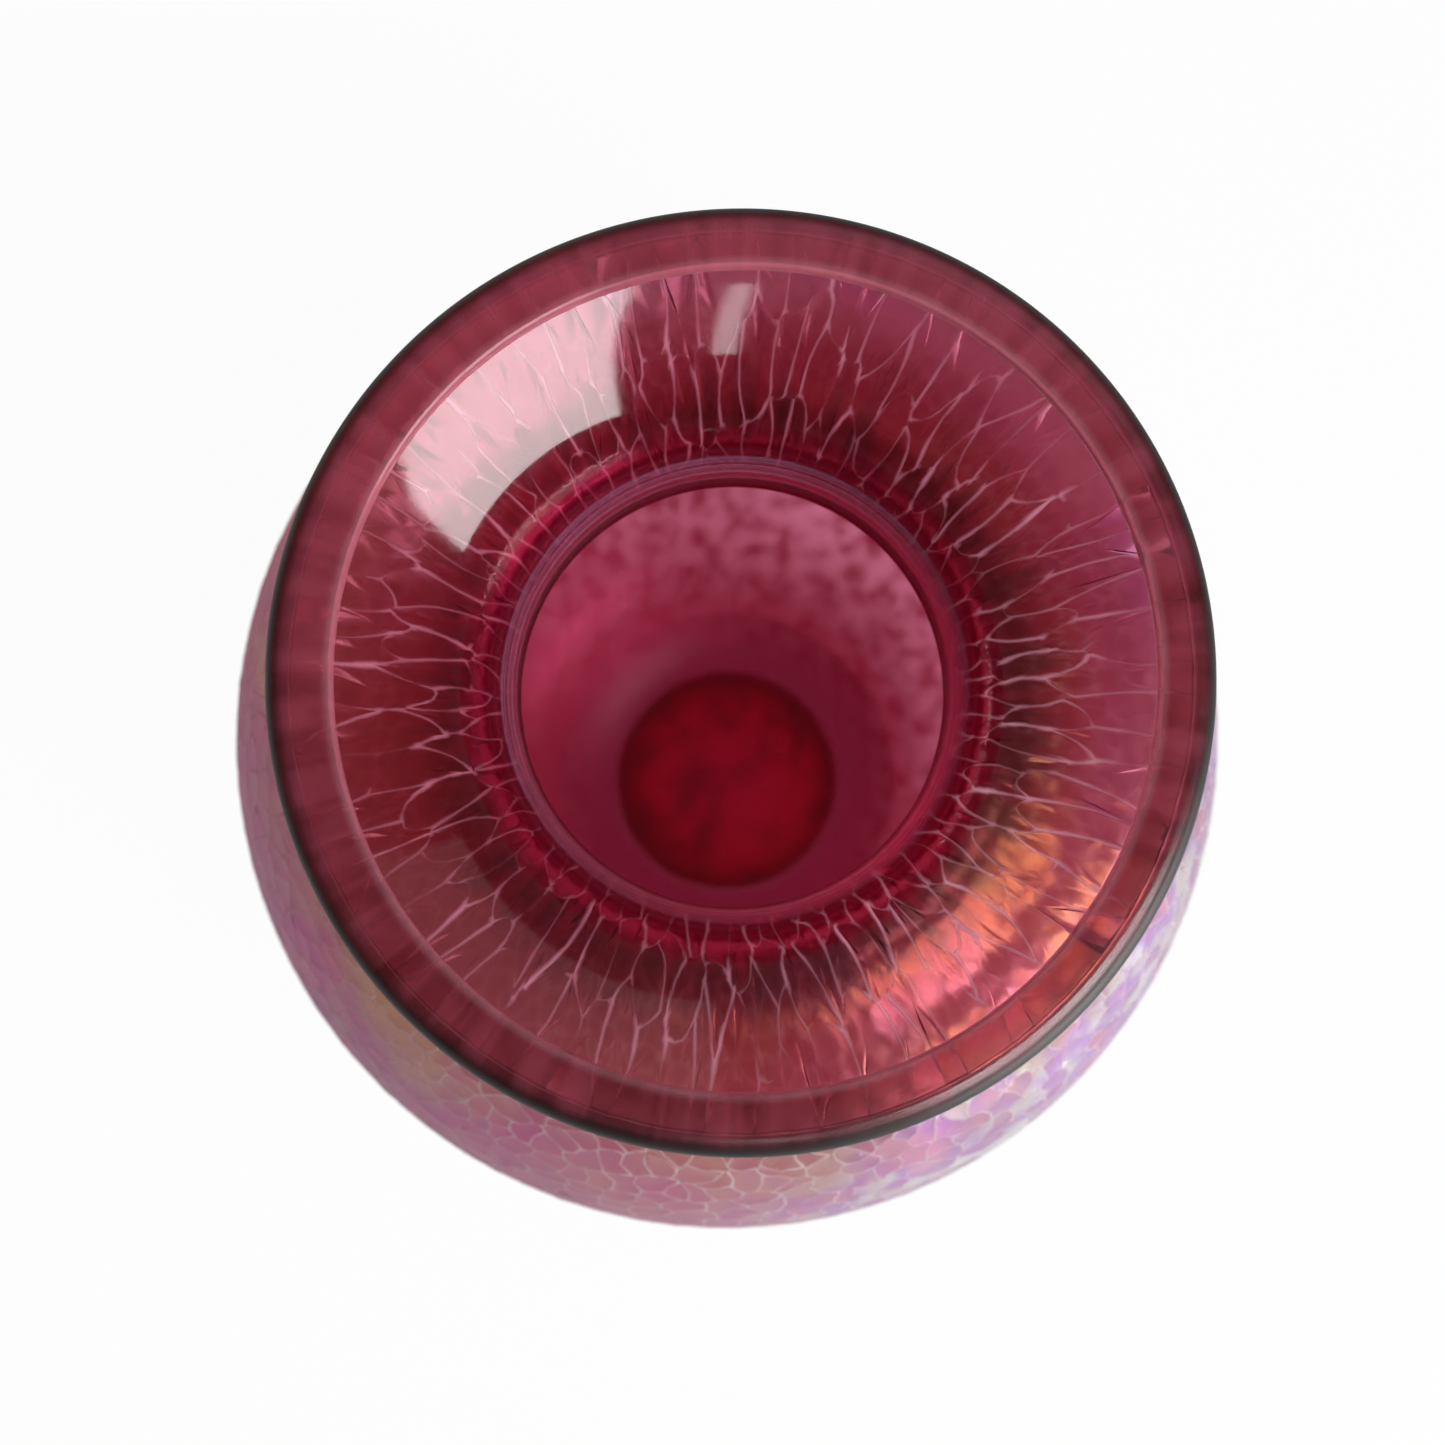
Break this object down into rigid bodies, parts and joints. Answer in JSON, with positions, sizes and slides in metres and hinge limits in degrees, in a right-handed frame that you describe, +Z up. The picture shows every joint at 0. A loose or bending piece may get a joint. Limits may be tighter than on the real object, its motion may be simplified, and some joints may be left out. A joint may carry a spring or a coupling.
{
  "type": "glass vase",
  "caption": "Round-bodied hand blown glass vase: ruby glass cased in clear crystal, crackled lustre skin, bell-shaped mouth with a wrapped lip, ground base.",
  "frame": {"origin": "centre of the ground base, on the table", "axes": "+Z up along the axis of the vase, towards the mouth"},
  "size_m": [0.137, 0.137, 0.168],
  "materials": {
    "ruby_glass": "clear deep ruby glass, fire polished",
    "clear_crystal": "clear crystal with a rose tint, fire polished",
    "crackle_lustre": "thin iridescent skin with pale raised crackle veins",
    "lip_glass": "hazy rose glass, dark aubergine at the edge, fire polished",
    "pontil_glass": "bright red glass, ground and polished hollow"
  },
  "bodies": {
    "root": {"ruby_bubble": "ruby_glass", "crystal_casing": "clear_crystal", "crackle_skin": "crackle_lustre", "lip_wrap": "lip_glass", "pontil_disc": "pontil_glass"}
  },
  "joints": []
}
